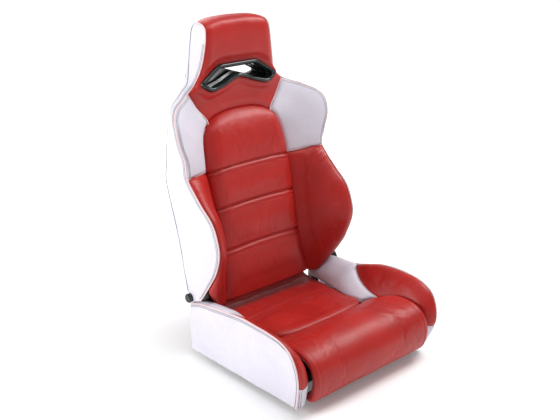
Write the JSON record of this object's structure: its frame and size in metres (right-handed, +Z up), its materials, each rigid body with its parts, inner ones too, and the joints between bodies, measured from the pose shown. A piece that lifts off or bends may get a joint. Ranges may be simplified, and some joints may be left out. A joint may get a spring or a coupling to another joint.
{
  "type": "racing seat",
  "caption": "Reclining sport bucket seat with side bolsters, shoulder wings, integral headrest with belt slot, rotary recliner wheel and bolt-down base.",
  "frame": {"origin": "centre of the four mounting holes, on the underside of the mounting rails", "axes": "+Z up, -Y forward (the sitter faces -Y), +X to the sitter's left"},
  "size_m": [0.574, 0.695, 0.957],
  "materials": {
    "red_leather": "semi-gloss grained",
    "white_leather": "satin grained",
    "black_plastic": "gloss",
    "frame_paint": "satin",
    "zinc_steel": "zinc plated",
    "spring_steel": "oiled"
  },
  "bodies": {
    "seat_base": {"base_bolt_left_1": "zinc_steel", "base_bolt_left_2": "zinc_steel", "base_bolt_right_1": "zinc_steel", "base_bolt_right_2": "zinc_steel", "front_corner_left": "white_leather", "front_corner_right": "white_leather", "front_cross_tube": "frame_paint", "front_roll": "red_leather", "hinge_base_plate_left": "frame_paint", "hinge_base_plate_right": "frame_paint", "mounting_rail_left": "frame_paint", "mounting_rail_right": "frame_paint", "pivot_pin_left": "zinc_steel", "pivot_pin_right": "zinc_steel", "rear_cross_tube": "frame_paint", "rear_wedge_left": "white_leather", "rear_wedge_right": "white_leather", "seat_bolster_left": "red_leather", "seat_bolster_right": "red_leather", "seat_cushion": "red_leather", "seat_pan": "frame_paint", "side_frame_left": "frame_paint", "side_frame_right": "frame_paint", "valance_left": "white_leather", "valance_right": "white_leather", "wheel_bush": "zinc_steel"},
    "backrest": {"back_bolster_left": "red_leather", "back_bolster_right": "red_leather", "back_lower_tube": "frame_paint", "back_shell": "white_leather", "back_side_tube_left": "frame_paint", "back_side_tube_right": "frame_paint", "back_spring_1": "spring_steel", "back_spring_2": "spring_steel", "back_spring_3": "spring_steel", "back_spring_4": "spring_steel", "back_upper_tube": "frame_paint", "belt_bezel_front": "black_plastic", "belt_bezel_rear": "black_plastic", "belt_sleeve": "black_plastic", "centre_pad": "red_leather", "head_cross_tube": "frame_paint", "head_post_left": "frame_paint", "head_post_right": "frame_paint", "headrest_pad": "red_leather", "hinge_back_plate_left": "frame_paint", "hinge_back_plate_right": "frame_paint", "recliner_sector": "zinc_steel", "side_boxing_left": "white_leather", "side_boxing_right": "white_leather", "wing_left": "white_leather", "wing_right": "white_leather"},
    "hand_wheel": {"hand_wheel": "black_plastic", "wheel_cap": "black_plastic", "wheel_pinion": "zinc_steel", "wheel_shaft": "zinc_steel"},
    "side_knob": {"side_knob": "black_plastic"}
  },
  "joints": [
    {"name": "backrest_recline", "type": "hinge", "parent": "seat_base", "child": "backrest", "pos_m": [0, 0.19, 0.19], "axis": [1, 0, 0], "range_deg": [-40, 8]},
    {"name": "hand_wheel_turn", "type": "hinge", "parent": "seat_base", "child": "hand_wheel", "pos_m": [0.279, 0.19, 0.154], "axis": [1, 0, 0], "range_deg": [-25, 121]},
    {"name": "side_knob_turn", "type": "hinge", "parent": "seat_base", "child": "side_knob", "pos_m": [-0.27, 0.19, 0.19], "axis": [1, 0, 0], "range_deg": [0, 90]}
  ],
  "couplings": [
    {"joint": "hand_wheel_turn", "follows": "backrest_recline", "ratio": -3}
  ]
}
